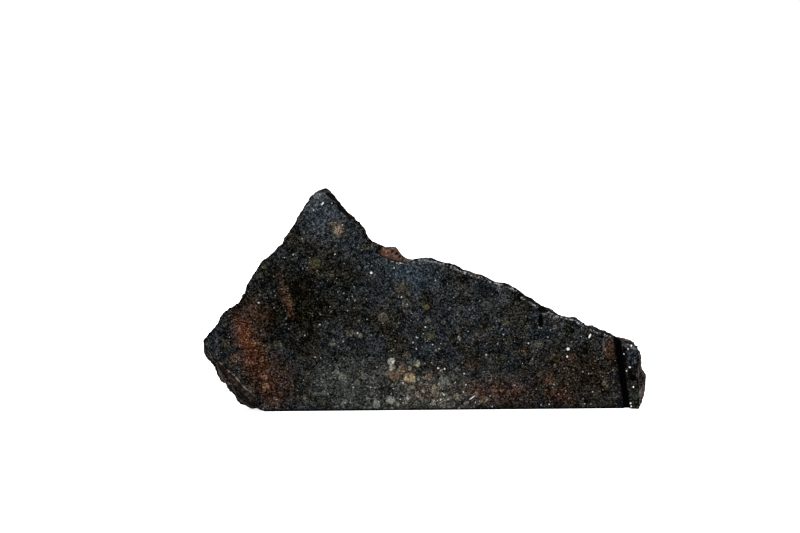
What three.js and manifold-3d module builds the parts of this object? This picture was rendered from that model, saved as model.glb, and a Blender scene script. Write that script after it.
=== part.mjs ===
// Chondrite meteorite, an end piece: one stone with a lapped face, a sawn base and a natural crust.
// Millimetres. +X runs along the stone, +Y goes from the lapped face to the natural back, +Z is up.
// The origin is the middle of the bounding box, at the level of the sawn base.
//
// The stone starts as a box of cells. Its grid is wrapped on to the stone: u runs along the base and
// along the top edge, v runs from the base to the top edge, and w from the front to the back. Lumps,
// dents and grain then move the crust, and the saw and the lap take off what they take off.

import * as THREE from "three";
import { ImprovedNoise } from "three/addons/math/ImprovedNoise.js";
import { mergeVertices } from "three/addons/utils/BufferGeometryUtils.js";
import Module from "manifold-3d";

// ---- Driving dimensions ----

// The edge of the lapped face, as [x, z]. The base is at z = 0, and the rough stone went on below it.
const LEFT_EDGE = [
  [-18.6, -1.5], [-19.9, 0], [-20.8, 1.1], [-22.0, 2.1], [-24.2, 4.2], [-25.1, 5.4], [-26.0, 6.8],
  [-27.1, 8.7],
];
const LEFT_FLANK = [
  [-26.6, 9.6], [-25.6, 10.8], [-25.2, 11.8], [-24.2, 13.0], [-22.9, 13.7], [-22.3, 14.5], [-22.0, 15.6],
  [-21.3, 16.8], [-19.9, 18.5], [-18.4, 19.7], [-17.1, 21.4], [-16.5, 22.6], [-15.4, 23.6], [-14.8, 25.1],
  [-14.1, 26.4], [-13.2, 27.1],
];
const PEAK = [[-12.1, 27.6]];
const RIGHT_FLANK = [
  [-11.3, 26.7], [-10.1, 25.3], [-9.7, 24.4], [-8.4, 23.3], [-7.7, 22.6], [-7.0, 21.4], [-6.1, 20.3],
];
const SADDLE = [[-5.9, 19.6], [-5.4, 19.1], [-4.1, 18.5], [-2.8, 18.2], [-2.0, 18.3], [-1.2, 18.7]];
const TAIL = [
  [0.8, 18.7], [2.9, 18.1], [4.6, 17.2], [5.8, 16.7], [6.8, 16.6], [8.2, 16.0], [10.3, 15.3], [11.2, 14.8],
  [12.1, 13.8], [13.6, 12.9], [15.0, 12.5], [16.1, 11.8], [18.4, 11.2], [19.5, 10.5], [21.4, 9.5],
  [23.2, 9.0], [24.4, 8.5],
];
const RIGHT_TOP = [26.1, 7.9];
const RIGHT_EDGE = [[26.3, -1.5], [26.2, 1.5], [26.1, 4.0], RIGHT_TOP];

// Facets of the natural back. Each is a plane: how deep it lies at x = 0, z = 0, and how its depth
// changes for each millimetre to the right and for each millimetre up.
const FACETS = [
  { depth: 13.0, right: 0.03, up: -0.10 },   // broad middle
  { depth: 11.4, right: -0.03, up: 0.50 },   // undercut above the base
  { depth: 22.2, right: 0.10, up: -0.62 },   // slope to the peak
  { depth: 22.0, right: 0.66, up: 0.05 },    // left end
  { depth: 13.4, right: -0.22, up: -0.14 },  // tail
  { depth: 20.6, right: -0.36, up: -0.86 },  // slope to the top edge of the tail
];
const RIDGE_SOFTNESS = 0.35;   // how far a ridge between two facets is worn down
const RIM_ROUND = 2.0;         // how far the ends and the top curve in before they meet the back
const DRAFT = 0.6;             // how far they lean in on the way

// Lumps of the crust, and dents where the height is less than nothing.
const LUMPS = [
  { at: [-26.4, 2.4, 6.9], radius: 1.6, height: 1.1 },    // left overhang, under the edge of the face
  { at: [-24.6, 2.8, 3.9], radius: 2.2, height: 1.5 },
  { at: [-22.4, 3.0, 1.5], radius: 2.3, height: 2.0 },
  { at: [-4.5, 2.4, 19.5], radius: 1.6, height: 1.4 },    // knob behind the saddle
  { at: [-3.4, 2.6, 18.9], radius: 1.3, height: 0.8 },
  { at: [26.4, 2.6, 2.2], radius: 2.6, height: 1.9 },     // right end
  { at: [26.2, 3.6, 6.0], radius: 2.0, height: 1.0 },
  { at: [11.0, 4.6, 14.4], radius: 2.2, height: 0.4 },    // shoulders along the tail
  { at: [20.6, 4.2, 9.4], radius: 1.8, height: 0.3 },
  { at: [2.4, 5.6, 17.4], radius: 2.4, height: -0.55 },
  { at: [16.4, 3.8, 11.8], radius: 2.0, height: -0.7 },
  { at: [-18.4, 3.6, 19.4], radius: 2.2, height: -0.5 },  // shallow bites in the left flank
  { at: [-21.6, 3.0, 16.0], radius: 1.8, height: -0.7 },
  { at: [-24.6, 3.0, 12.2], radius: 2.2, height: -0.8 },
  { at: [-8.0, 3.8, 22.8], radius: 2.0, height: -0.5 },
  { at: [-15.0, 11.0, 12.5], radius: 3.6, height: -1.1 }, // thumb marks on the back
  { at: [-6.5, 13.0, 6.5], radius: 4.0, height: -0.9 },
  { at: [3.5, 11.5, 11.0], radius: 3.2, height: -1.0 },
  { at: [10.5, 11.0, 4.5], radius: 3.4, height: -0.8 },
  { at: [19.5, 8.5, 5.0], radius: 2.8, height: -0.7 },
  { at: [-21.5, 7.5, 7.0], radius: 2.8, height: -0.8 },
  { at: [-11.5, 7.5, 20.0], radius: 2.4, height: -0.7 },
  { at: [-3.0, 9.5, 15.0], radius: 2.2, height: 0.7 },    // knobs between them
  { at: [-11.0, 12.0, 9.0], radius: 2.0, height: 0.5 },
  { at: [6.5, 12.0, 6.5], radius: 2.2, height: 0.6 },
  { at: [15.0, 8.5, 8.0], radius: 1.8, height: 0.5 },
];
const HOLLOWS = { size: 5.2, height: 0.8, blunt: 0.08 };   // shallow hollows with ridges between them
const GRAIN = { size: 1.9, height: 0.28 };                 // and small waves on them
const NOISE_AXIS = new THREE.Vector3(0.4, 0.7, 0.6).normalize();
const NOISE_TURN = 0.9;
const CRUST_START = 1.1;   // the crust reaches its full relief this far behind the lapped face

// The lap stops short of the right end, where the last bit broke off and left a lip.
const LIP_HEIGHT = 0.7;
const LIP_FOOT = [25.2, 0];        // the lip's left side, at the base
const LIP_HEAD = [23.9, 8.6];      // and at the top edge
const LIP_ROUGHNESS = 0.25;
const GROOVE = { width: 0.6, depth: 0.3 };

// Pits in the face and its edges: a ball of this radius, stretched, is scooped out.
const PITS = [
  { at: [14.5, 0.1, 12.6], radius: [0.45, 0.9, 0.8] },    // notch in the top edge
  { at: [14.4, 0.0, 10.2], radius: [0.35, 0.5, 0.75] },   // second pit, below it
  { at: [25.5, -0.7, 3.9], radius: [0.35, 0.4, 0.35] },   // in the lip
  { at: [-5.3, 1.1, 20.9], radius: [0.45, 0.5, 0.45] },   // in the knob behind the saddle
  { at: [-3.6, 1.0, 20.0], radius: [0.4, 0.5, 0.4] },
];

// Pits in the natural back, as [x, z, radius].
const BACK_PITS = [
  [-17.5, 7.5, 0.7], [-13.2, 16.4, 0.8], [-8.6, 3.6, 0.6], [-1.5, 10.6, 0.8],
  [7.8, 9.4, 0.7], [13.6, 3.2, 0.8], [18.2, 6.3, 0.6], [22.6, 3.4, 0.7],
];
const BACK_PIT_REACH = 2.2;    // each is a long ball, so that it opens outwards wherever the crust lies
const BACK_PIT_DEPTH = 1.1;    // and it goes this far into the stone

// Chips off the edge of the face: a flat flake this wide and deep, turned to face outwards.
const CHIPS = [
  { at: [-10.3, 0, 25.3], reach: 0.55, turn: -52, lean: 50 },   // right of the peak
  { at: [-11.8, 0, 27.2], reach: 0.25, turn: -20, lean: 40 },   // peak
];

const FLAKE = 4;               // size of the cube that a flake is

const WEAR_PASSES = 10;        // how often the jags of the edge are evened out towards the back
const WEAR_REACH = 0.6;        // and where this is complete: 0 at the lapped face, 1 at the back
const CELL = 0.85;             // length of a cell along the edges
const ROWS = 21;               // cells from the base to the top edge
const RINGS = 10;              // cells from the front to the back
const FAR = 60;                // further than any part of the stone
const WELD = 1e-5;             // points this close together are one
const STONE_GREY = 0x35302c;

// ---- Outline ----

// Splits the lines between the points into cells, and keeps every point.
function divide(points, cell) {
  const divided = [new THREE.Vector2(...points[0])];
  for (let i = 1; i < points.length; i++) {
    const from = new THREE.Vector2(...points[i - 1]);
    const to = new THREE.Vector2(...points[i]);
    const count = Math.ceil(from.distanceTo(to) / cell);
    for (let k = 1; k <= count; k++) divided.push(from.clone().lerp(to, k / count));
  }
  return divided;
}

// The point at the fraction t of a divided line, where each cell counts the same.
function pointOn(line, t) {
  const place = THREE.MathUtils.clamp(t, 0, 1) * (line.length - 1);
  const index = Math.min(Math.floor(place), line.length - 2);
  return line[index].clone().lerp(line[index + 1], place - index);
}

// A line with its corners evened out, and its ends kept.
function worn(line) {
  let points = line;
  for (let pass = 0; pass < WEAR_PASSES; pass++) {
    points = points.map((point, i) => {
      if (i === 0 || i === points.length - 1) return point;
      const between = points[i - 1].clone().add(points[i + 1]).multiplyScalar(0.5);
      return point.clone().add(between).multiplyScalar(0.5);
    });
  }
  return points;
}

// The points of a straight line that lie under the points of another, so that the columns stand upright.
function under(line, from, to) {
  const [first, last] = [line[0].x, line.at(-1).x];
  const [start, end] = [new THREE.Vector2(...from), new THREE.Vector2(...to)];
  return line.map((point) => start.clone().lerp(end, (point.x - first) / (last - first)));
}

const TOP_EDGE = [LEFT_EDGE.at(-1), ...LEFT_FLANK, ...PEAK, ...RIGHT_FLANK, ...SADDLE, ...TAIL, RIGHT_TOP];
const topLine = divide(TOP_EDGE, CELL);
const crispLines = {
  base: under(topLine, LEFT_EDGE[0], RIGHT_EDGE[0]),
  left: divide(LEFT_EDGE, CELL),
  right: divide(RIGHT_EDGE, CELL),
  top: topLine,
};
const wornLines = { ...crispLines, left: worn(crispLines.left), top: worn(crispLines.top) };
const COLUMNS = topLine.length - 1;

// A patch stretched between four lines: the point of the stone's outline at u, v.
function patch({ base, left, right, top }, u, v) {
  const along = pointOn(base, u).lerp(pointOn(top, u), v);
  const across = pointOn(left, v).lerp(pointOn(right, v), u);
  const foot = pointOn(base, 0).lerp(pointOn(base, 1), u);
  const head = pointOn(top, 0).lerp(pointOn(top, 1), u);
  return along.add(across).sub(foot.lerp(head, v));
}

// ---- Crust ----

// How deep the natural back lies behind the face: the nearest facet, with worn ridges.
function backDepth(x, z) {
  const sum = FACETS.reduce((total, facet) => {
    const depth = facet.depth + facet.right * x + facet.up * z;
    return total + Math.exp(-depth / RIDGE_SOFTNESS);
  }, 0);
  return -RIDGE_SOFTNESS * Math.log(sum);
}

// Smooth waves between about -1 and 1 through space, each about one size long.
const noise = new ImprovedNoise();
function waves(point, size) {
  const turned = point.clone().applyAxisAngle(NOISE_AXIS, NOISE_TURN).divideScalar(size);
  return noise.noise(turned.x, turned.y, turned.z);
}

// How far the crust stands out at a point, with its lumps, hollows and waves.
function relief(point) {
  let height = 0;
  for (const lump of LUMPS) {
    const away = point.distanceTo(new THREE.Vector3(...lump.at)) / lump.radius;
    height += lump.height * Math.exp(-away * away);
  }
  height += HOLLOWS.height * (0.5 - 2 * Math.hypot(waves(point, HOLLOWS.size), HOLLOWS.blunt));
  height += GRAIN.height * waves(point, GRAIN.size);
  return height * THREE.MathUtils.smoothstep(point.y, 0, CRUST_START);
}

// ---- Rough stone ----

// Where the grid point u, v, w of the box lies on the stone before its relief.
function wrap(u, v, w) {
  const behind = (w * RINGS - 1) / (RINGS - 1);   // 0 at the lapped face, 1 where the back begins
  if (behind < 0) {
    const front = patch(crispLines, u, v);
    const rough = LIP_ROUGHNESS * waves(new THREE.Vector3(front.x, 0, front.y), 1);
    return new THREE.Vector3(front.x, -LIP_HEIGHT + rough, front.y);
  }
  const inset = RIM_ROUND * (1 - Math.sqrt(1 - behind ** 3)) + DRAFT * behind;
  const height = patch(crispLines, u, 1).distanceTo(patch(crispLines, u, 0));
  const width = patch(crispLines, 1, v).distanceTo(patch(crispLines, 0, v));
  const [across, up] = [inset / width + u * (1 - 2 * inset / width), v * (1 - inset / height)];
  const wear = THREE.MathUtils.smoothstep(behind, 0, WEAR_REACH);
  const point = patch(crispLines, across, up).lerp(patch(wornLines, across, up), wear);
  return new THREE.Vector3(point.x, behind * backDepth(point.x, point.y), point.y);
}

function roughStone() {
  let box = new THREE.BoxGeometry(1, 1, 1, COLUMNS, RINGS, ROWS);
  box.deleteAttribute("normal");
  box.deleteAttribute("uv");
  box = mergeVertices(box, WELD);
  const position = box.attributes.position;
  for (let i = 0; i < position.count; i++) {
    const point = wrap(position.getX(i) + 0.5, position.getZ(i) + 0.5, position.getY(i) + 0.5);
    position.setXYZ(i, point.x, point.y, point.z);
  }
  box.computeVertexNormals();
  const normal = box.attributes.normal;
  for (let i = 0; i < position.count; i++) {
    const point = new THREE.Vector3().fromBufferAttribute(position, i);
    const outward = new THREE.Vector3().fromBufferAttribute(normal, i);
    point.addScaledVector(outward, relief(point));
    position.setXYZ(i, point.x, point.y, point.z);
  }
  return box;
}

// ---- Cutting ----

const wasm = await Module();
wasm.setup();

function solid(geometry) {
  const bare = geometry.clone();
  bare.deleteAttribute("normal");
  bare.deleteAttribute("uv");
  const merged = mergeVertices(bare, WELD);
  const vertProperties = new Float32Array(merged.attributes.position.array);
  const triVerts = new Uint32Array(merged.index.array);
  return new wasm.Manifold(new wasm.Mesh({ numProp: 3, vertProperties, triVerts }));
}

// A block with the outline [x, z] from the depth front to the depth back.
function block(outline, front, back) {
  const shape = new THREE.Shape(outline.map(([x, z]) => new THREE.Vector2(x, z)));
  const geometry = new THREE.ExtrudeGeometry(shape, { depth: back - front, bevelEnabled: false });
  return geometry.rotateX(Math.PI / 2).translate(0, back, 0);
}

// A point on the lip's left side at the height z.
function lipLine(z) {
  const slope = (LIP_HEAD[0] - LIP_FOOT[0]) / (LIP_HEAD[1] - LIP_FOOT[1]);
  return [LIP_FOOT[0] + slope * (z - LIP_FOOT[1]), z];
}

function lappedAway() {
  return block([[-FAR, -FAR], lipLine(-FAR), lipLine(FAR), [-FAR, FAR]], -FAR, 0);
}

function groove() {
  const [foot, head] = [lipLine(-FAR), lipLine(FAR)];
  const outline = [[foot[0] - GROOVE.width, foot[1]], foot, head, [head[0] - GROOVE.width, head[1]]];
  return block(outline, -FAR, GROOVE.depth);
}

function sawnAway() {
  return block([[-FAR, -FAR], [FAR, -FAR], [FAR, 0], [-FAR, 0]], -FAR, FAR);
}

function pit({ at, radius }) {
  return new THREE.IcosahedronGeometry(1, 1).scale(...radius).translate(...at);
}

function backPit([x, z, radius]) {
  const y = backDepth(x, z) + BACK_PIT_REACH - BACK_PIT_DEPTH;
  return pit({ at: [x, y, z], radius: [radius, BACK_PIT_REACH, radius] });
}

// A flake is a cube whose near side is the chip's surface.
function chip({ at, reach, turn, lean }) {
  const flake = new THREE.BoxGeometry(FLAKE, FLAKE, FLAKE).translate(0, (reach - FLAKE) / 2, 0);
  flake.rotateX(THREE.MathUtils.degToRad(-lean)).rotateY(THREE.MathUtils.degToRad(-turn));
  return flake.translate(...at);
}

function stoneGeometry() {
  const pits = [...PITS.map(pit), ...BACK_PITS.map(backPit)];
  const cutters = [lappedAway(), groove(), sawnAway(), ...pits, ...CHIPS.map(chip)];
  const stone = cutters.reduce((rest, cutter) => rest.subtract(solid(cutter)), solid(roughStone()));
  const mesh = stone.getMesh();
  const geometry = new THREE.BufferGeometry();
  geometry.setAttribute("position", new THREE.BufferAttribute(mesh.vertProperties, 3));
  geometry.setIndex(new THREE.BufferAttribute(mesh.triVerts, 1));
  geometry.computeVertexNormals();
  geometry.computeBoundingBox();
  return geometry;
}

// ---- Part ----

const geometry = stoneGeometry();
const middle = geometry.boundingBox.getCenter(new THREE.Vector3());
const stoneMaterial = new THREE.MeshStandardMaterial({ color: STONE_GREY, roughness: 0.7, metalness: 0.05 });
const meteorite = new THREE.Mesh(geometry, stoneMaterial);
meteorite.name = "meteorite";
meteorite.position.set(-middle.x, -middle.y, -geometry.boundingBox.min.z);

const part = new THREE.Group();
part.add(meteorite);

export default part;
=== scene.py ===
"""A chondrite end piece: one lapped face, a sawn base, a broken lip and a weathered crust."""
import math
import random
import bmesh
import bpy
import numpy as np
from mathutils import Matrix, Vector, geometry, kdtree, noise


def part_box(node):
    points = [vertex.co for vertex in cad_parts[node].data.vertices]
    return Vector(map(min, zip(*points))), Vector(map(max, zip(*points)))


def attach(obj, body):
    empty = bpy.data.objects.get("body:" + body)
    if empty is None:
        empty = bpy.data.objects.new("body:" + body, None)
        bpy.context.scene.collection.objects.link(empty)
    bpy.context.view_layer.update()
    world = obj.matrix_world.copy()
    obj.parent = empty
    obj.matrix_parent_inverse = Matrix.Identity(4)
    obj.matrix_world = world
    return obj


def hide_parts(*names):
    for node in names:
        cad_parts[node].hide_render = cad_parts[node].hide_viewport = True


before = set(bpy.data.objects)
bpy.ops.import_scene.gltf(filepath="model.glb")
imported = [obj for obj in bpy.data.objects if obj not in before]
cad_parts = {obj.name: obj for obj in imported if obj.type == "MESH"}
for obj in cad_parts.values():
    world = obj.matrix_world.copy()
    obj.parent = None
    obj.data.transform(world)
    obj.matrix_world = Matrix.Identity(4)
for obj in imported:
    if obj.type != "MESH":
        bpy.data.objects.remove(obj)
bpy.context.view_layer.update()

# Sizes are in millimetres in the stone's own frame: x along it, y into its depth, z up.
MM = 0.001
WELD = 0.002
SHORTEST_EDGE = 0.04
FLAT_TOLERANCE = 0.004

# The five surfaces that the stone shows.
SURFACE_COUNT = 5
LAPPED, SAWN, BROKEN, GROOVE, CRUST = range(SURFACE_COUNT)

# How square a face of the lapped face looks out, and how square one of the lip does.
LAPPED_FACING = -0.999
LIP_FACING = -0.45

# The lip's left side runs from the base up; the saw groove lies to the left of it.
LIP_FOOT_X = 25.0
LIP_LEAN = -0.151
GROOVE_WIDTH = 0.6
GROOVE_SLACK = 0.05
LIP_DEPTH = 0.35

# How finely the rough surfaces are divided, in front and at the back.
FRONT_EDGE = 0.24
BACK_EDGE = 0.36
FRONT_DEPTH = -2.5
RIM_EDGE = 0.2
DIVIDING_ROUNDS = 7

# The net of points inside a flat surface: (spacing, least and greatest distance from its outline).
FLAT_NET = [(0.17, 0.08, 0.4), (0.36, 0.4, 1.1), (0.75, 1.1, 99.0)]
NET_ROW_SHARE = 0.87
NET_JITTER = 0.25
NET_SLACK = 1e-5
NET_SEED = 41

# Smoothing of the crust's facets: its rounds, and the shares of its push and of its pull back.
SMOOTHING = 7
SMOOTH_SHARES = (0.5, -0.53)
SHARP_ANGLE = 50

# The worn edge of the flat surfaces: its depth, its reach, and how unevenly it is worn.
EDGE_ROUND = 0.07
ROUND_REACH = 0.26
EDGE_WEAR = (1.4, 1.3, 71.0)
EDGE_FAR = 1.5
DRAG_REACH = 0.4

# Where the outline is lit from above: from here on in x, and by how far it looks up.
LIT_FROM = (-6.0, -4.0)
LIT_FACING = (0.3, 0.8)

# The layers of relief: height, width, and the shift that makes each pattern its own. Clouds end
# with their octaves, and cavities with the share of the cells that are hollow.
WARP = (1.0, 2.2, 3.1)
LUMPS = (0.15, 1.5, 11.3, 3)
CRESTS = (0.1, 0.95, 23.7)
CRUST_GRAIN = (0.06, 0.42, 37.9, 2)
HOLLOWS = (-0.28, 1.5, 41.0, 0.42)
SMALL_HOLLOWS = (-0.16, 0.62, 53.0, 0.4)
LIP_LUMPS = (0.07, 0.8, 61.0, 3)
LIP_GRAIN = (0.035, 0.3, 67.0)
RIM_GRAIN = (0.07, 0.5, 83.0)
CREST_STEEPNESS = 2.2
CAVITY_REACH = 0.42
CAVITY_WALL = 0.8

# Beside the lapped face the crust's relief is calmer, and finer.
RIM_REACH = 0.8
RIM_CALM = 0.65

# The ledges at the two ends: height, spacing, sharpness, how the layers wander, and where they are.
LEDGE_HEIGHT = 0.14
LEDGE_SPACING = 0.85
LEDGE_SHARPNESS = 0.6
LEDGE_WANDER = 0.35
LEDGE_SWING = 2.1
LEFT_LEDGES_X = (-17.5, -20.0)
LEFT_LEDGES_Z = (10.0, 6.5)
RIGHT_LEDGES_X = (24.6, 25.6)
RIGHT_LEDGES_SHARE = 0.4
LEDGES_Y = (-1.5, -4.0)

# The knob behind the saddle, smoother than the rest of the crust.
KNOB = (-4.3, -3.2, 19.4)
KNOB_REACH = 3.4
KNOB_CALM = 0.9
KNOB_GRAIN_CALM = 0.5

# The sharp tip of the stone, where the relief fades so that the tip stays.
TIP = (-12.1, -5.92, 27.38)
TIP_REACH = 1.6

# The pit below the notch: its packed place, and how it is moved and narrowed to a slot.
SLOT = (14.2, 10.2)
SLOT_MOVE = (-0.35, 0.8)
SLOT_REACH = 2.1
SLOT_CORE = 0.4
SLOT_Y = (-3.5, -5.0)
SLOT_NARROW = 0.4

# The small pits of the lapped face, and the rings of points that make them round.
FACE_PITS = 90
FACE_PITS_X = (-25.0, 23.0)
FACE_PITS_Z = (0.8, 25.0)
FACE_PIT_SIZE = (0.12, 0.3)
FACE_PIT_DEPTH = 0.4
PIT_RINGS = (0.55, 1.0)
PIT_STEPS = 8


# ---------------------------------------------------------------- the stone's surfaces

def lip_side(z):
    """Where the lip's left side stands at this height."""
    return LIP_FOOT_X + LIP_LEAN * z


def plane_of_lapped_face(work):
    """The depth of the lapped face: that of the largest face that looks straight out."""
    facing = [face for face in work.faces if face.normal.y < LAPPED_FACING]
    largest = max(facing, key=lambda face: face.calc_area())
    return largest.calc_center_median().y


def surface_of(face, front):
    """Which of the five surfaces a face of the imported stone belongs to."""
    corners = [vert.co for vert in face.verts]
    if all(abs(corner.y - front) < FLAT_TOLERANCE for corner in corners):
        return LAPPED
    if all(abs(corner.z) < FLAT_TOLERANCE for corner in corners):
        return SAWN
    middle = face.calc_center_median()
    past_lip = middle.x - lip_side(middle.z)
    shallow = middle.y < front + LIP_DEPTH
    if shallow and -GROOVE_WIDTH - GROOVE_SLACK < past_lip < GROOVE_SLACK:
        return GROOVE
    if shallow and past_lip > 0 and face.normal.y < LIP_FACING:
        return BROKEN
    return CRUST


def packed_stone(node):
    """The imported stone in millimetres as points, triangles and the surface of each triangle."""
    work = bmesh.new()
    work.from_mesh(node.data)
    bmesh.ops.scale(work, vec=(1 / MM, 1 / MM, 1 / MM), verts=work.verts)
    bmesh.ops.remove_doubles(work, verts=work.verts, dist=WELD)
    work.normal_update()
    front = plane_of_lapped_face(work)
    label = work.faces.layers.int.new("surface")
    for face in work.faces:
        face[label] = surface_of(face, front)
    bmesh.ops.dissolve_degenerate(work, dist=SHORTEST_EDGE, edges=work.edges)
    bmesh.ops.triangulate(work, faces=work.faces)
    work.verts.index_update()
    points = np.array([vert.co for vert in work.verts])
    faces = np.array([[vert.index for vert in face.verts] for face in work.faces])
    kinds = np.array([face[label] for face in work.faces])
    work.free()
    points[np.unique(faces[kinds == LAPPED]), 1] = front
    points[np.unique(faces[kinds == SAWN]), 2] = 0
    return points, faces, kinds


def edges_of(faces):
    """Every edge once, and for each triangle the numbers of its three edges."""
    sides = np.concatenate([faces[:, [0, 1]], faces[:, [1, 2]], faces[:, [2, 0]]])
    edges, numbers = np.unique(np.sort(sides, axis=1), axis=0, return_inverse=True)
    return edges, numbers.reshape(3, -1).T


def edge_limits(points, edges, numbers, kinds):
    """The longest that each edge may stay."""
    seen = np.zeros((len(edges), SURFACE_COUNT), bool)
    for side in range(3):
        seen[numbers[:, side], kinds] = True
    depth = points[edges].mean(axis=1)[:, 1]
    limits = np.where(depth < FRONT_DEPTH, FRONT_EDGE, BACK_EDGE)
    flat = seen[:, LAPPED] | seen[:, SAWN]
    limits[flat] = RIM_EDGE
    limits[flat & (seen.sum(axis=1) == 1)] = math.inf
    return limits


def turned(rows, shift):
    """Each row of three, started at its own place."""
    return np.take_along_axis(rows, (np.arange(3) + shift[:, None]) % 3, axis=1)


def split_in_two(faces, halves):
    """The corners of the pieces of triangles with one edge cut, one array a corner."""
    shift = np.argmax(halves >= 0, axis=1)
    a, b, c = turned(faces, shift).T
    m = turned(halves, shift)[:, 0]
    return [(a, m, c), (m, b, c)]


def split_in_three(faces, halves, points):
    """The same for two edges cut: the four-sided rest is parted along its shorter diagonal."""
    shift = (np.argmin(halves >= 0, axis=1) + 1) % 3
    a, b, c = turned(faces, shift).T
    m, n, _ = turned(halves, shift).T
    first = np.linalg.norm(points[a] - points[n], axis=1)
    second = np.linalg.norm(points[m] - points[c], axis=1)
    fourth = np.where(first < second, n, c)
    fifth = np.where(first < second, a, m)
    return [(m, b, n), (a, m, fourth), (fifth, n, c)]


def split_in_four(faces, halves):
    """The same for all three edges cut."""
    a, b, c = faces.T
    m, n, o = halves.T
    return [(a, m, o), (m, b, n), (o, n, c), (m, n, o)]


def halved(points, faces, kinds):
    """The same shape with every edge that is too long cut in half."""
    edges, numbers = edges_of(faces)
    ends = points[edges]
    length = np.linalg.norm(ends[:, 0] - ends[:, 1], axis=1)
    cut = length > edge_limits(points, edges, numbers, kinds)
    middle = np.full(len(edges), -1)
    middle[cut] = len(points) + np.arange(cut.sum())
    points = np.concatenate([points, ends[cut].mean(axis=1)])
    halves = middle[numbers]
    count = (halves >= 0).sum(axis=1)
    one, two, three = (count == number for number in (1, 2, 3))
    pieces = [faces[count == 0]]
    owners = [kinds[count == 0]]
    for chosen, corners in ((one, split_in_two(faces[one], halves[one])),
                            (two, split_in_three(faces[two], halves[two], points)),
                            (three, split_in_four(faces[three], halves[three]))):
        pieces += [np.stack(corner, 1) for corner in corners]
        owners += [kinds[chosen]] * len(corners)
    return points, np.concatenate(pieces), np.concatenate(owners)


def inside(spots, starts, ends):
    """Which flat spots lie inside the closed outline made of these edges."""
    count = np.zeros(len(spots), int)
    for (ax, ay), (bx, by) in zip(starts, ends):
        if ay == by:
            continue
        spans = (spots[:, 1] > ay) != (spots[:, 1] > by)
        cross = ax + (spots[:, 1] - ay) * (bx - ax) / (by - ay)
        count += spans & (spots[:, 0] < cross)
    return count % 2 == 1


def net_spots(outline, dice):
    """Jittered spots that fill a flat outline, closer together towards its edge."""
    tree = kdtree.KDTree(len(outline))
    for index, (x, y) in enumerate(outline):
        tree.insert((x, y, 0), index)
    tree.balance()
    low = outline.min(0)
    high = outline.max(0)
    found = []
    for spacing, nearest_allowed, farthest in FLAT_NET:
        for x in np.arange(low[0], high[0], spacing):
            for y in np.arange(low[1], high[1], spacing * NET_ROW_SHARE):
                across = dice.uniform(-NET_JITTER, NET_JITTER) * spacing
                along = dice.uniform(-NET_JITTER, NET_JITTER) * spacing
                spot = (x + across, y + along)
                if nearest_allowed < tree.find((*spot, 0))[2] <= farthest:
                    found.append(spot)
    return found


def rim_of(faces, kinds, kind):
    """The outline of one flat surface: its points, and its edges as pairs of their numbers."""
    edges, numbers = edges_of(faces)
    uses = np.bincount(numbers[kinds == kind].ravel(), minlength=len(edges))
    verts, pairs = np.unique(edges[uses == 1], return_inverse=True)
    return verts, pairs.reshape(-1, 2)


def laid_net(outline, pairs, extra, dice):
    """A fresh net of flat spots inside an outline, and its triangles."""
    starts, ends = outline[pairs[:, 0]], outline[pairs[:, 1]]
    spots = np.array(net_spots(outline, dice) + extra)
    spots = spots[inside(spots, starts, ends)]
    flat = [Vector(spot) for spot in np.concatenate([outline, spots])]
    laid, _, triangles, _, _, _ = geometry.delaunay_2d_cdt(flat, pairs.tolist(), [], 1, NET_SLACK)
    laid = np.array(laid)
    triangles = np.array(triangles)
    return laid, triangles[inside(laid[triangles].mean(axis=1), starts, ends)]


def refilled(points, faces, kinds, kind, axes, extra, dice):
    """The same stone with a fresh, even net of triangles over one flat surface."""
    verts, pairs = rim_of(faces, kinds, kind)
    laid, triangles = laid_net(points[verts][:, axes], pairs, extra, dice)
    a, b, c = (laid[triangles[:, i]] for i in range(3))
    wanted = 1 if kind == LAPPED else -1
    turn = (b - a)[:, 0] * (c - a)[:, 1] - (b - a)[:, 1] * (c - a)[:, 0]
    triangles[turn * wanted < 0] = triangles[turn * wanted < 0][:, ::-1]
    fresh = np.zeros((len(laid) - len(verts), 3))
    fresh[:, axes] = laid[len(verts):]
    fresh[:, 3 - sum(axes)] = points[verts[0], 3 - sum(axes)]
    renumbered = np.concatenate([verts, len(points) + np.arange(len(fresh))])
    keep = kinds != kind
    faces = np.concatenate([faces[keep], renumbered[triangles]])
    kinds = np.concatenate([kinds[keep], np.full(len(triangles), kind)])
    return np.concatenate([points, fresh]), faces, kinds


def scatter_face_pits(dice):
    """Small pits of the lapped face: (x, z, radius) each."""
    pits = []
    while len(pits) < FACE_PITS:
        x = dice.uniform(*FACE_PITS_X)
        z = dice.uniform(*FACE_PITS_Z)
        pits.append((x, z, dice.uniform(*FACE_PIT_SIZE)))
    return pits


def pit_net(pits):
    """The spots that give each small pit its round shape."""
    found = []
    for x, z, radius in pits:
        found.append((x, z))
        for ring in PIT_RINGS:
            for step in range(PIT_STEPS):
                turn = math.tau * (step + ring) / PIT_STEPS
                found.append((x + radius * ring * math.cos(turn), z + radius * ring * math.sin(turn)))
    return found


# ---------------------------------------------------------------- relief

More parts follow.
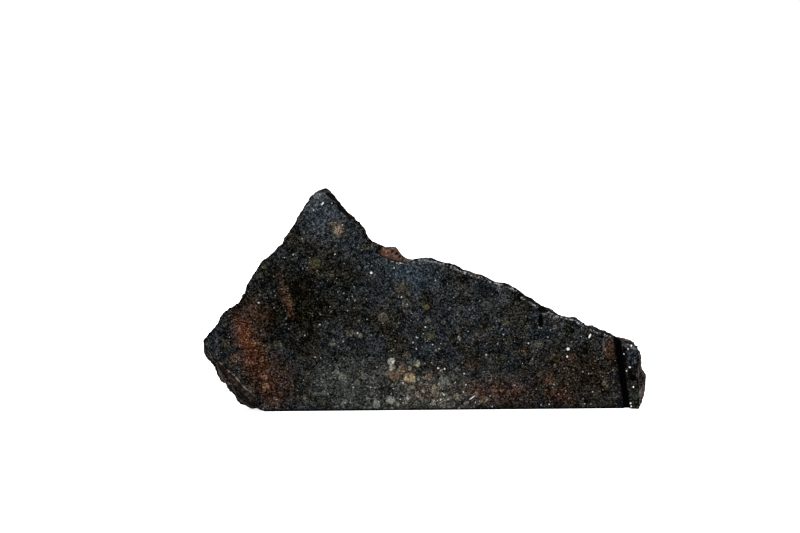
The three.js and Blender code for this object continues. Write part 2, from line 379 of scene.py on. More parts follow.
class Surface:
    """The stone's mesh as arrays: points, triangles, and which surface each triangle is on."""

    def __init__(self, points, faces, kinds):
        used, numbers = np.unique(faces, return_inverse=True)
        self.points = points[used]
        self.faces = numbers.reshape(-1, 3)
        self.kinds = kinds
        self.edges = edges_of(self.faces)[0]

    def touching(self, *kinds):
        """Which points belong to a triangle of one of these surfaces."""
        mask = np.zeros(len(self.points), bool)
        mask[self.faces[np.isin(self.kinds, kinds)].ravel()] = True
        return mask

    def normals(self, *kinds):
        """The outward direction at each point, from the triangles of these surfaces alone."""
        corners = self.faces[np.isin(self.kinds, kinds)]
        a, b, c = (self.points[corners[:, i]] for i in range(3))
        face_normals = np.cross(b - a, c - a)
        total = np.zeros_like(self.points)
        for i in range(3):
            np.add.at(total, corners[:, i], face_normals)
        length = np.linalg.norm(total, axis=1, keepdims=True)
        return total / np.maximum(length, 1e-12)

    def smooth(self, free, rounds):
        """Takes the facets out of the free points without shrinking the shape."""
        first, second = self.edges.T
        count = np.bincount(self.edges.ravel(), minlength=len(self.points))[:, None]
        for _ in range(rounds):
            for share in SMOOTH_SHARES:
                total = np.zeros_like(self.points)
                np.add.at(total, first, self.points[second])
                np.add.at(total, second, self.points[first])
                move = (total / count - self.points) * share
                self.points[free] += move[free]


def nearest(points, targets):
    """For each point, the index of the nearest target and its distance."""
    tree = kdtree.KDTree(len(targets))
    for index, target in enumerate(targets):
        tree.insert(target, index)
    tree.balance()
    found = [tree.find(point) for point in points]
    return np.array([hit[1] for hit in found]), np.array([hit[2] for hit in found])


def smoothstep(low, high, value):
    """0 below low, 1 above high, and a smooth rise between; low may be the larger."""
    share = np.clip((value - low) / (high - low), 0, 1)
    return share * share * (3 - 2 * share)


def clouds(points, size, shift, octaves=2):
    """Soft lumps this wide, about -1 to 1."""
    move = Vector((shift, shift * 1.7, shift * 0.6))
    return np.array([noise.fractal(Vector(point) / size + move, 1.0, 2.0, octaves) for point in points])


def ridges(points, size, shift):
    """Sharp crests between hollows this wide, about -0.5 to 0.5."""
    return 0.5 - np.abs(clouds(points, size, shift)) * CREST_STEEPNESS


def cavities(points, size, shift, share):
    """Round hollows in some of the cells: 1 at the middle of a hollow, 0 outside it."""
    move = Vector((shift, shift * 0.8, shift * 1.9))
    found = []
    for point in points:
        distances, centres = noise.voronoi(Vector(point) / size + move)
        chosen = noise.cell(centres[0] * 9.7) < share
        found.append(max(0.0, 1 - distances[0] / CAVITY_REACH) if chosen else 0.0)
    return smoothstep(0, CAVITY_WALL, np.array(found))


def layer(pattern, points, height, *rest):
    """One layer of relief: a pattern of this height."""
    return height * pattern(points, *rest)


def ledges(points):
    """The two ends of the stone break in ledges, one layer behind the other."""
    x, y, z = points.T
    left = smoothstep(*LEFT_LEDGES_X, x) * smoothstep(*LEFT_LEDGES_Z, z)
    right = RIGHT_LEDGES_SHARE * smoothstep(*RIGHT_LEDGES_X, x)
    share = np.maximum(left, right) * smoothstep(*LEDGES_Y, y)
    warp = layer(clouds, points, *WARP)
    steps = np.sin((y + LEDGE_WANDER * warp) * math.tau / LEDGE_SPACING + LEDGE_SWING * warp)
    return LEDGE_HEIGHT * share * np.sign(steps) * np.abs(steps) ** LEDGE_SHARPNESS


def crust_relief(points):
    """How far each point of the crust stands out or in: calmer on the knob."""
    coarse = layer(clouds, points, *LUMPS) + layer(ridges, points, *CRESTS)
    coarse += layer(cavities, points, *HOLLOWS) + ledges(points)
    fine = layer(clouds, points, *CRUST_GRAIN) + layer(cavities, points, *SMALL_HOLLOWS)
    calm = smoothstep(KNOB_REACH, KNOB_REACH / 2, np.linalg.norm(points - KNOB, axis=1))
    return coarse * (1 - KNOB_CALM * calm) + fine * (1 - KNOB_GRAIN_CALM * calm)


def broken_relief(points):
    """How far each point of the broken lip stands out or in."""
    return layer(clouds, points, *LIP_LUMPS) + layer(clouds, points, *LIP_GRAIN)


def rim_mask(surface, kind):
    """Which points lie where this flat surface meets the rough ones."""
    return surface.touching(kind) & surface.touching(BROKEN, GROOVE, CRUST)


def pull_flats(surface, shift):
    """Lets the flat surfaces follow their ragged outline, and keeps them flat."""
    for kind, axis in ((LAPPED, 1), (SAWN, 2)):
        rim = rim_mask(surface, kind)
        shift[rim, axis] = 0
        inner = np.flatnonzero(surface.touching(kind) & ~rim)
        hit, distance = nearest(surface.points[inner], surface.points[rim])
        fade = smoothstep(DRAG_REACH, 0.0, distance)[:, None]
        shift[inner] = shift[rim][hit] * fade
        shift[inner, axis] = 0


def round_edges(surface):
    """Wears the outline of the flat surfaces back by a hair, more in some places than others."""
    spread, size, shift = EDGE_WEAR
    for kind, axis in ((LAPPED, 1), (SAWN, 2)):
        _, distance = nearest(surface.points, surface.points[rim_mask(surface, kind)])
        close = distance < ROUND_REACH
        worn = 1 + spread * np.clip(clouds(surface.points[close], size, shift), -0.5, 1)
        fade = (1 - distance[close] / ROUND_REACH) ** 2
        surface.points[close, axis] += EDGE_ROUND * worn * fade


def narrow_slot(surface):
    """Turns the pit below the notch into an upright slot, a little higher up."""
    x, y, z = surface.points.T
    away = np.hypot(x - SLOT[0], z - SLOT[1])
    share = smoothstep(SLOT_REACH, SLOT_CORE, away) * smoothstep(*SLOT_Y, y)
    surface.points[:, 0] += share * (SLOT_MOVE[0] - SLOT_NARROW * (x - SLOT[0]))
    surface.points[:, 2] += share * SLOT_MOVE[1]


def sink_face_pits(surface, pits):
    """Presses the small pits into the lapped face."""
    inner = surface.touching(LAPPED) & ~rim_mask(surface, LAPPED)
    for x, z, radius in pits:
        away = np.hypot(surface.points[:, 0] - x, surface.points[:, 2] - z)
        hit = inner & (away < radius)
        depth = FACE_PIT_DEPTH * radius * (1 - (away[hit] / radius) ** 2)
        surface.points[hit, 1] += depth


def own_relief(surface):
    """How far each point stands out, by the relief of the surface that it is on."""
    crust = surface.touching(CRUST)
    lip = surface.touching(BROKEN) & ~crust
    relief = np.zeros(len(surface.points))
    relief[crust] = crust_relief(surface.points[crust])
    relief[lip] = broken_relief(surface.points[lip])
    relief[surface.touching(GROOVE)] = 0
    return relief


def calmed(relief, points, distance):
    """The relief, finer beside the lapped face and gone at the sharp tip."""
    near_rim = smoothstep(RIM_REACH, 0.0, distance)
    relief = relief * (1 - RIM_CALM * near_rim) + layer(clouds, points, *RIM_GRAIN) * near_rim
    return relief * smoothstep(0.0, TIP_REACH, np.linalg.norm(points - TIP, axis=1))


def shape_surface(surface, pits, low, high):
    """Smooths the facets, gives each surface its own relief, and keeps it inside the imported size.
    It gives back the numbers that the materials read at each point."""
    narrow_slot(surface)
    held = surface.touching(LAPPED, SAWN, GROOVE, BROKEN)
    surface.smooth(surface.touching(CRUST) & ~held, SMOOTHING)
    normals = surface.normals(CRUST, BROKEN)
    outline = rim_mask(surface, LAPPED)
    hit, distance = nearest(surface.points, surface.points[outline])
    relief = calmed(own_relief(surface), surface.points, distance)
    facing = normals[outline][hit]
    lit = smoothstep(*LIT_FACING, facing[:, 2]) * smoothstep(*LIT_FROM, surface.points[:, 0])
    shift = normals * relief[:, None]
    shift[~surface.touching(CRUST, BROKEN)] = 0
    pull_flats(surface, shift)
    surface.points += shift
    round_edges(surface)
    sink_face_pits(surface, pits)
    surface.points = np.clip(surface.points, low, high)
    return {"relief": relief, "edge": np.minimum(distance, EDGE_FAR), "lit": lit}


def write_attribute(mesh, name, values):
    """Keeps one number a point on the mesh for the materials to read."""
    attribute = mesh.attributes.new(name, "FLOAT", "POINT")
    attribute.data.foreach_set("value", np.asarray(values, np.float32))


def make_stone(node):
    """The whole stone as one piece, with its relief and one material index a surface."""
    dice = random.Random(NET_SEED)
    pits = scatter_face_pits(dice)
    points, faces, kinds = packed_stone(node)
    for _ in range(DIVIDING_ROUNDS):
        points, faces, kinds = halved(points, faces, kinds)
    points, faces, kinds = refilled(points, faces, kinds, LAPPED, [0, 2], pit_net(pits), dice)
    points, faces, kinds = refilled(points, faces, kinds, SAWN, [0, 1], [], dice)
    surface = Surface(points, faces, kinds)
    low, high = (np.array(corner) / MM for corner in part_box("meteorite"))
    written = shape_surface(surface, pits, low, high)
    mesh = bpy.data.meshes.new("stone")
    mesh.from_pydata(surface.points * MM, [], surface.faces)
    for name, values in written.items():
        write_attribute(mesh, name, values)
    mesh.polygons.foreach_set("material_index", surface.kinds)
    mesh.polygons.foreach_set("use_smooth", np.ones(len(mesh.polygons), bool))
    mesh.set_sharp_from_angle(angle=math.radians(SHARP_ANGLE))
    mesh.update()
    stone = bpy.data.objects.new("stone", mesh)
    bpy.context.collection.objects.link(stone)
    return stone


# ---------------------------------------------------------------- wiring shader nodes

class Net:
    """Short forms for wiring the nodes of one tree."""

    def __init__(self, tree):
        self.tree = tree

    def add(self, kind, **settings):
        """A new node with these settings."""
        node = self.tree.nodes.new(kind)
        for name, value in settings.items():
            setattr(node, name, value)
        return node

    def feed(self, socket, value):
        """Links one socket to another, or gives it a plain value; colours come without alpha."""
        if isinstance(value, bpy.types.NodeSocket):
            self.tree.links.new(value, socket)
        elif value is not None:
            socket.default_value = (*value, 1) if socket.type == "RGBA" else value

    def math(self, operation, first, second=None, clamp=False):
        node = self.add("ShaderNodeMath", operation=operation, use_clamp=clamp)
        self.feed(node.inputs[0], first)
        self.feed(node.inputs[1], second)
        return node.outputs[0]

    def times(self, total, *others):
        """The product of several numbers."""
        for other in others:
            total = self.math("MULTIPLY", total, other)
        return total

    def most(self, masks):
        """The strongest of several masks at each point."""
        total, *others = masks
        for mask in others:
            total = self.math("MAXIMUM", total, mask)
        return total

    def remap(self, value, low, high, to_low=0.0, to_high=1.0):
        """A smooth rise from to_low at low to to_high at high; low may be the larger."""
        node = self.add("ShaderNodeMapRange", interpolation_type="SMOOTHSTEP")
        for name, number in zip(("Value", "From Min", "From Max", "To Min", "To Max"),
                                (value, low, high, to_low, to_high)):
            self.feed(node.inputs[name], number)
        return node.outputs["Result"]

    def band(self, value, rise, fall):
        """1 between a rise and a fall, each given by where it starts and where it ends."""
        return self.times(self.remap(value, *rise), self.remap(value, *fall))

    def mix(self, share, first, second, way="MIX"):
        node = self.add("ShaderNodeMix", data_type="RGBA", blend_type=way)
        node.clamp_result = way == "SUBTRACT"
        self.feed(node.inputs["Factor"], share)
        self.feed(node.inputs[6], first)
        self.feed(node.inputs[7], second)
        return node.outputs[2]

    def shade(self, colour, tone):
        """A colour made lighter or darker by a tone."""
        return self.mix(1.0, colour, tone, "MULTIPLY")

    def vector(self, operation, first, second=None, scale=None):
        node = self.add("ShaderNodeVectorMath", operation=operation)
        self.feed(node.inputs[0], first)
        self.feed(node.inputs[1], second)
        if scale is not None:
            self.feed(node.inputs["Scale"], scale)
        return node.outputs["Value" if operation in ("LENGTH", "DISTANCE") else "Vector"]

    def axis(self, position, name):
        """One of the three numbers of a position."""
        node = self.add("ShaderNodeSeparateXYZ")
        self.feed(node.inputs[0], position)
        return node.outputs[name]

    def clouds(self, position, size, detail=2.0, roughness=0.55, colour=False):
        """Soft noise with lumps about this wide."""
        node = self.add("ShaderNodeTexNoise", noise_dimensions="3D")
        self.feed(node.inputs["Vector"], position)
        self.feed(node.inputs["Scale"], self.over(size))
        self.feed(node.inputs["Detail"], detail)
        self.feed(node.inputs["Roughness"], roughness)
        return node.outputs["Color" if colour else "Fac"]

    def cells(self, position, size, feature="F1"):
        """Irregular cells about this wide."""
        node = self.add("ShaderNodeTexVoronoi", feature=feature)
        self.feed(node.inputs["Vector"], position)
        self.feed(node.inputs["Scale"], self.over(size))
        return node

    def over(self, size):
        """One over a size, which may be a number or a socket."""
        if isinstance(size, bpy.types.NodeSocket):
            return self.math("DIVIDE", 1.0, size)
        return 1.0 / size

    def parts(self, colour):
        """The three parts of a colour, used as three chances of a cell."""
        node = self.add("ShaderNodeSeparateColor")
        self.feed(node.inputs[0], colour)
        return node.outputs

    def group(self, tree, **inputs):
        """A shared effect placed in this tree with its own values."""
        node = self.add("ShaderNodeGroup", node_tree=tree)
        for name, value in inputs.items():
            self.feed(node.inputs[name], value)
        return node.outputs

    def attribute(self, name):
        return self.add("ShaderNodeAttribute", attribute_name=name).outputs["Fac"]


KINDS = {"value": "NodeSocketFloat", "vector": "NodeSocketVector", "colour": "NodeSocketColor"}


def new_group(name, inputs, outputs):
    """An empty node group with named sockets, and the wiring to fill it."""
    tree = bpy.data.node_groups.new(name, "ShaderNodeTree")
    for direction, sockets in (("INPUT", inputs), ("OUTPUT", outputs)):
        for label, kind in sockets:
            tree.interface.new_socket(name=label, in_out=direction, socket_type=KINDS[kind])
    net = Net(tree)
    given = net.add("NodeGroupInput").outputs
    result = net.add("NodeGroupOutput").inputs
    return tree, net, given, result


# ---------------------------------------------------------------- shared effects

def stone_place():
    """Where a point lies in the stone, in millimetres: plain, gently warped, and finely broken up."""
    tree, net, _, result = new_group(
        "stone place", [],
        [("Position", "vector"), ("Warped", "vector"), ("Broken", "vector"), ("Cloud", "value")])
    own = net.add("ShaderNodeTexCoord").outputs["Object"]
    position = net.vector("SCALE", own, scale=1 / MM)
    net.feed(result["Position"], position)
    for name, size, push in (("Warped", 0.9, 0.55), ("Broken", 0.2, 0.22)):
        bend = net.clouds(position, size, 2.0, colour=True)
        centred = net.vector("SUBTRACT", bend, (0.5, 0.5, 0.5))
        pushed = net.vector("SCALE", centred, scale=push)
        net.feed(result[name], net.vector("ADD", position, pushed))
    cloud = net.clouds(position, 1.7, 4.0, 0.65)
    net.feed(result["Cloud"], net.math("SUBTRACT", cloud, 0.5))
    return tree


def mineral_grain():
    """Small crystals, each lighter or darker than the next."""
    tree, net, given, result = new_group(
        "mineral grain",
        [("Position", "vector"), ("Size", "value"), ("Contrast", "value")],
        [("Shade", "value"), ("Height", "value")])
    crystals = net.cells(given["Position"], given["Size"])
    tone = net.parts(crystals.outputs["Color"])[0]
    fine = net.clouds(given["Position"], given["Size"], 2.0, 0.7)
    spread = net.times(net.math("SUBTRACT", fine, 0.5), 3.0)
    both = net.math("ADD", net.math("SUBTRACT", tone, 0.5), spread)
    net.feed(result["Shade"], net.math("POWER", 2.0, net.times(both, given["Contrast"])))
    net.feed(result["Height"], fine)
    return tree


def metal_flecks():
    """Scattered bright grains of metal, each of its own size and brightness."""
    tree, net, given, result = new_group(
        "metal flecks",
        [("Position", "vector"), ("Spacing", "value"), ("Size", "value"), ("Share", "value")],
        [("Mask", "value")])
    found = net.cells(given["Position"], given["Spacing"])
    chance = net.parts(found.outputs["Color"])
    chosen = net.math("LESS_THAN", chance[0], given["Share"])
    width = net.times(given["Size"], net.math("ADD", 0.4, chance[1]))
    reach = net.math("DIVIDE", width, given["Spacing"])
    spot = net.remap(found.outputs["Distance"], net.times(reach, 0.5), reach, 1.0, 0.0)
    bright = net.math("ADD", 0.3, net.times(chance[2], 0.7))
    net.feed(result["Mask"], net.times(spot, chosen, bright))
    return tree


def chondrules():
    """Round mineral beads cut through by the face: their bodies, rims and tone."""
    tree, net, given, result = new_group(
        "chondrules",
        [("Position", "vector"), ("Spacing", "value"), ("Share", "value")],
        [("Body", "value"), ("Rim", "value"), ("Tone", "value")])
    found = net.cells(given["Position"], given["Spacing"])
    chance = net.parts(found.outputs["Color"])
    chosen = net.math("LESS_THAN", chance[0], given["Share"])
    reach = net.math("ADD", 0.22, net.times(chance[1], 0.26))
    share = net.math("DIVIDE", found.outputs["Distance"], reach)
    body = net.remap(share, 0.8, 1.0, 1.0, 0.0)
    rim = net.band(share, (0.7, 0.95), (1.2, 1.0))
    net.feed(result["Body"], net.times(body, chosen))
    net.feed(result["Rim"], net.times(rim, chosen))
    net.feed(result["Tone"], chance[2])
    return tree


def stain():
    """Ragged clouds of colour: Level sets how much they cover."""
    tree, net, given, result = new_group(
        "stain",
        [("Position", "vector"), ("Size", "value"), ("Level", "value"), ("Softness", "value")],
        [("Mask", "value")])
    cloud = net.clouds(given["Position"], given["Size"], 4.0, 0.62)
    low = net.math("SUBTRACT", given["Level"], given["Softness"])
    high = net.math("ADD", given["Level"], given["Softness"])
    net.feed(result["Mask"], net.remap(cloud, low, high))
    return tree


def patch():
    """One soft oval patch at a chosen place on the lapped face, with a ragged edge."""
    tree, net, given, result = new_group(
        "patch",
        [("Position", "vector"), ("Centre", "vector"), ("Reach", "vector"),
         ("Turn", "value"), ("Cloud", "value"), ("Ragged", "value")],
        [("Mask", "value")])
    away = net.vector("SUBTRACT", given["Position"], given["Centre"])
    rotated = net.add("ShaderNodeVectorRotate", rotation_type="Y_AXIS")
    net.feed(rotated.inputs["Vector"], away)
    net.feed(rotated.inputs["Angle"], given["Turn"])
    flat = net.vector("MULTIPLY", rotated.outputs[0], (1.0, 0.0, 1.0))
    scaled = net.vector("DIVIDE", flat, given["Reach"])
    ragged = net.times(given["Cloud"], given["Ragged"])
    edge = net.math("ADD", net.vector("LENGTH", scaled), ragged)
    net.feed(result["Mask"], net.remap(edge, 0.15, 1.15, 1.0, 0.0))
    return tree


def crackle():
    """Fine shrinkage cracks."""
    tree, net, given, result = new_group(
        "crackle",
        [("Position", "vector"), ("Spacing", "value"), ("Width", "value")],
        [("Mask", "value")])
    found = net.cells(given["Position"], given["Spacing"], "DISTANCE_TO_EDGE")
    gap = net.times(found.outputs["Distance"], given["Spacing"])
    net.feed(result["Mask"], net.remap(gap, 0.0, given["Width"], 1.0, 0.0))
    return tree


EFFECTS = {maker.__name__: maker() for maker in (
    stone_place, mineral_grain, metal_flecks, chondrules, stain, patch, crackle)}


# ---------------------------------------------------------------- colours and places

BLUE_GREY = (0.0154, 0.0166, 0.0180)
OLIVE_BLACK = (0.0074, 0.0070, 0.0051)
BROWN_GREY = (0.0142, 0.0134, 0.0114)
MATRIX_DEPTH = (0.0070, 0.0070, 0.0068)
PALE = (0.2, 0.195, 0.17)
# The pale colour of the painted highlight along the lit outline.
EDGE_HIGHLIGHT = (0.28, 0.29, 0.3)
METAL = (0.5, 0.51, 0.52)
CRUST_BLACK = (0.0008, 0.0006, 0.0005)
CRUST_DARK = (0.0045, 0.0034, 0.0027)
CRUST_BROWN = (0.046, 0.0255, 0.0185)
CRUST_GREY = (0.055, 0.042, 0.035)
CRUST_HOLLOW = (0.0075, 0.0055, 0.0042)
DUST = (0.2, 0.155, 0.125)
RIDGE_PINK = (0.085, 0.060, 0.053)
MOTTLE_DARK = (0.6, 0.61, 0.62)
MOTTLE_PALE = (1.16, 1.15, 1.12)
SAWN_GREY = (0.03, 0.03, 0.029)
SAWN_RUST = (0.05, 0.026, 0.016)
LIP_DARK = (0.0105, 0.0098, 0.0085)

# How much each layer of colour covers at most.
# The first of these is the painted shadow of the lip beside the groove.
LIP_SHADOW_STRENGTH = 0.93
CRUMB_STRENGTH = 0.4
RIDGE_STRENGTH = 0.55
LIT_LINE = 0.65
CHONDRULE_RIM = 0.4

# How metallic the metal looks, from 0 for stone to 1 for bare metal.
METAL_SHARE = 0.5

# Where the masks rise, from 0 at the first to 1 at the second, in millimetres.
FRONT_Y = (-1.2, -4.4)
RIGHT_END_X = (25.5, 26.1)
FOOT_SIDE = (-20.6, -22.0)
FOOT_TOP = (8.4, 7.2)
FOOT_BOTTOM = (0.6, 2.6)
# The painted shadow of the lip rises over this reach towards the groove.
LIP_SHADOW_REACH = (-0.5, 0.05)
# The painted contact shadow along the foot of the lapped face fades out over this height.
BASE_SHADOW_Z = (0.3, 0.14)
FACE_SKIN = (0.18, 0.08)
CRUST_SKIN = (0.75, 0.3)

# The crumbling strip at the left foot grows from the first width to the second on its way down.
STRIP_Z = (7.6, 4.2)
STRIP_WIDTH = (0.05, 0.95)

# How far the noise moves the margins of the worn edge and of the crust's crests.
EDGE_WANDER = 0.5
LEVEL_WANDER = 0.5
SPOT_RAGGED = 0.6

# The pattern's chondrules: spacing, share of the cells, tints of the dimmest and of the brightest.
CHONDRULE_SIZES = [
    (1.7, 0.5, (0.9, 0.95, 0.9), (2.3, 2.1, 1.75)),
    (0.85, 0.45, (0.75, 0.8, 0.8), (2.2, 2.1, 1.9)),
]

# Patches of the lapped face: middle (x, z), reach (x, z), turn in degrees, ragged, colour, strength.
FACE_PATCHES = [
    # The first two patches are bluish: a soft reflection of light from above, painted on the upper
    # face.
    ((-12.0, 24.5), (4.6, 4.2), 0, 0.9, (0.031, 0.036, 0.041), 0.8),
    ((-2.5, 16.8), (6.5, 3.0), -18, 0.9, (0.0205, 0.0262, 0.0315), 0.8),
    ((-15.8, 13.4), (5.6, 7.2), 12, 1.1, OLIVE_BLACK, 0.95),
    ((-10.5, 16.5), (3.4, 3.0), 0, 1.1, OLIVE_BLACK, 0.6),
    ((-8.9, 3.6), (8.5, 4.4), 0, 1.0, (0.029, 0.030, 0.028), 0.8),
    ((0.8, 2.0), (8.5, 4.0), 0, 1.0, (0.038, 0.037, 0.0335), 0.85),
    ((17.6, 4.2), (7.0, 5.0), 0, 0.9, (0.0160, 0.0132, 0.0102), 0.9),
    ((9.0, 2.3), (7.0, 2.4), 0, 1.2, (0.027, 0.0185, 0.016), 0.65),
    ((-21.0, 12.0), (2.6, 3.2), 20, 1.2, (0.020, 0.0125, 0.009), 0.8),
    ((-22.1, 8.6), (1.7, 4.4), 17, 1.2, (0.046, 0.0215, 0.0155), 0.9),
    ((-20.6, 5.0), (2.2, 4.2), 24, 1.2, (0.033, 0.0170, 0.0120), 0.85),
    ((-18.9, 2.0), (1.7, 2.2), 30, 1.2, (0.030, 0.0170, 0.0130), 0.7),
    ((-17.6, 4.4), (1.9, 3.6), 22, 1.5, (0.0235, 0.0140, 0.0102), 0.65),
    ((-20.6, 8.2), (1.3, 3.0), 20, 1.5, (0.030, 0.0175, 0.0115), 0.55),
    ((-22.3, 8.9), (0.6, 1.6), 18, 1.3, (0.088, 0.036, 0.018), 0.5),
    ((-23.6, 6.8), (0.8, 0.8), 0, 1.2, (0.060, 0.032, 0.022), 0.55),
    ((-25.0, 8.6), (1.1, 1.6), 0, 1.2, (0.0095, 0.0085, 0.0085), 0.6),
    ((-17.5, 14.6), (0.9, 3.4), 18, 1.2, (0.030, 0.0185, 0.0140), 0.55),
    ((-17.5, 13.9), (0.45, 0.5), 0, 1.0, (0.070, 0.038, 0.028), 0.5),
    ((-16.7, 12.1), (0.6, 0.9), 18, 1.2, (0.034, 0.019, 0.014), 0.5),
    ((6.2, 2.3), (1.4, 1.1), 0, 1.0, (0.048, 0.024, 0.017), 0.5),
    ((8.5, 2.5), (1.0, 0.9), 0, 1.0, (0.048, 0.026, 0.018), 0.5),
    ((11.0, 2.4), (1.2, 0.9), 0, 1.0, (0.040, 0.022, 0.016), 0.5),
    ((0.2, 2.2), (1.8, 1.4), 0, 1.0, (0.052, 0.034, 0.022), 0.5),
    ((-2.6, 4.6), (1.5, 1.5), 0, 1.3, (0.048, 0.033, 0.024), 0.5),
    ((-1.2, 2.6), (1.0, 1.0), 0, 1.3, (0.046, 0.030, 0.021), 0.5),
    ((22.4, 7.4), (1.2, 2.4), 8, 0.9, (0.034, 0.020, 0.0125), 0.7),
    ((5.4, 5.6), (1.2, 0.8), 0, 1.0, (0.028, 0.017, 0.0145), 0.6),
    ((6.2, 8.9), (1.0, 0.9), 0, 1.2, (0.034, 0.026, 0.022), 0.5),
    ((11.8, 7.3), (0.6, 0.6), 0, 1.0, (0.042, 0.028, 0.018), 0.5),
    ((17.6, 6.6), (1.1, 0.8), 0, 1.0, (0.032, 0.020, 0.014), 0.6),
    ((15.0, 3.6), (0.8, 1.0), 0, 1.2, (0.042, 0.022, 0.015), 0.5),
    ((16.6, 1.8), (2.6, 1.5), 0, 1.2, (0.026, 0.0145, 0.0105), 0.6),
    ((-11.1, 22.5), (1.5, 1.4), 0, 0.8, (0.050, 0.041, 0.034), 0.6),
    ((-11.7, 23.0), (0.7, 0.6), 30, 1.6, (0.06, 0.05, 0.04), 0.5),
    ((-10.9, 22.3), (0.7, 0.55), -50, 2.0, (0.15, 0.105, 0.082), 0.7),
    ((-13.8, 17.9), (1.2, 1.1), 0, 0.9, (0.030, 0.024, 0.018), 0.7),
    ((-3.2, 15.0), (1.5, 1.4), 0, 1.2, (0.030, 0.024, 0.018), 0.7),
    ((-12.15, 27.1), (0.6, 0.6), 0, 0.6, CRUST_BLACK, 0.9),
    ((-11.9, 26.5), (0.35, 0.7), 40, 0.8, CRUST_BLACK, 0.9),
    # A pale painted highlight along the lit upper left edge of the peak.
    ((-13.6, 26.3), (1.2, 0.45), 38, 0.8, (0.080, 0.085, 0.090), 0.6),
]

# Brown chips on the black edge beside the tip.
TIP_CHIPS = [
    ((-12.0, 27.15), (0.6, 0.4), 0, 1.2, (0.085, 0.062, 0.050), 0.6),
    ((-11.35, 25.95), (0.3, 0.5), 40, 1.2, (0.12, 0.09, 0.073), 0.7),
]

# Single chondrules and pale spots of the lapped face: middle (x, z), radius, colour, strength.
BEAD_SQUASH = 0.86
BEAD_RAGGED = 0.8
BEAD_TURN = 70
BEAD_RIM = 0.7
FACE_BEADS = [
    ((-1.6, 6.0), 0.58, (0.045, 0.048, 0.036), 0.5),
    ((-3.16, 5.45), 0.6, (0.050, 0.034, 0.027), 0.6),
    ((-4.0, 4.32), 0.82, (0.066, 0.048, 0.035), 0.75),
    ((-4.51, 6.07), 0.52, PALE, 0.8),
    ((-4.38, 5.4), 0.56, (0.14, 0.135, 0.11), 0.7),
    ((-4.86, 4.56), 0.42, (0.085, 0.07, 0.05), 0.6),
    ((-2.23, 4.05), 0.8, (0.13, 0.10, 0.062), 0.8),
    ((-2.16, 5.24), 0.4, (0.11, 0.1, 0.075), 0.65),
    ((-1.18, 5.85), 0.5, (0.115, 0.11, 0.082), 0.7),
    ((0.14, 4.11), 0.5, (0.10, 0.062, 0.046), 0.6),
    ((1.98, 3.6), 0.7, (0.062, 0.067, 0.060), 0.65),
    ((0.91, 2.86), 0.33, (0.10, 0.085, 0.06), 0.6),
    ((-4.54, 1.29), 0.72, (0.10, 0.105, 0.088), 0.7),
    ((-2.16, 2.83), 0.32, (0.09, 0.07, 0.045), 0.6),
    ((-7.6, 4.2), 0.5, (0.06, 0.062, 0.058), 0.6),
    ((-10.2, 3.4), 0.6, (0.055, 0.056, 0.05), 0.6),
    ((-6.3, 0.8), 0.6, (0.085, 0.09, 0.085), 0.6),
    ((-12.6, 2.2), 0.6, (0.05, 0.055, 0.048), 0.6),
    ((3.9, 1.6), 0.5, (0.07, 0.072, 0.068), 0.6),
    ((-5.5, 11.5), 0.75, (0.052, 0.045, 0.036), 0.6),
    ((-10.5, 4.15), 0.6, (0.08, 0.083, 0.066), 0.6),
    ((-11.1, 4.8), 0.45, (0.08, 0.082, 0.07), 0.5),
    ((-8.6, 3.45), 0.4, (0.07, 0.07, 0.06), 0.55),
    ((-10.1, 1.15), 0.45, (0.11, 0.11, 0.105), 0.6),
    ((-13.7, 18.3), 0.85, (0.030, 0.028, 0.018), 0.65),
    ((-0.2, 12.8), 0.45, (0.052, 0.044, 0.024), 0.7),
    ((0.3, 9.2), 0.65, (0.030, 0.027, 0.018), 0.7),
    ((7.3, 12.9), 0.75, (0.032, 0.034, 0.029), 0.75),
    ((9.6, 10.7), 0.55, (0.032, 0.028, 0.017), 0.7),
    ((0.0, 11.1), 0.5, (0.042, 0.043, 0.041), 0.7),
    ((3.8, 8.8), 0.28, (0.09, 0.085, 0.075), 0.7),
    ((13.3, 8.0), 0.4, (0.055, 0.057, 0.055), 0.7),
    ((17.6, 7.9), 0.3, (0.06, 0.06, 0.056), 0.7),
    ((-15.2, 21.0), 0.4, (0.042, 0.042, 0.034), 0.6),
]

# The scattered flecks of metal: spacing, size, share of the cells, strength where few and where many.
FLECK_SIZES = [
    (0.3, 0.09, 0.26, 0.08, 0.75),
    (0.7, 0.11, 0.45, 0.15, 1.0),
    (1.5, 0.12, 0.5, 0.4, 0.95),
]

# Where the flecks crowd together: middle (x, z), reach (x, z), turn, ragged.
FLECK_CROWD = ((-1.0, 1.5), (9.5, 4.5), 0, 1.0)

# Single metal grains: middle (x, z), reach (x, z), turn in degrees.
FACE_GRAINS = [
    ((19.97, 9.05), (0.13, 0.34), -22),
    ((17.3, 7.45), (0.22, 0.22), 0),
    ((17.2, 6.5), (0.12, 0.14), 0),
    ((5.5, 1.5), (0.5, 0.07), 35),
    ((-6.9, 17.0), (0.17, 0.17), 0),
    ((-12.8, 25.5), (0.1, 0.24), -35),
]

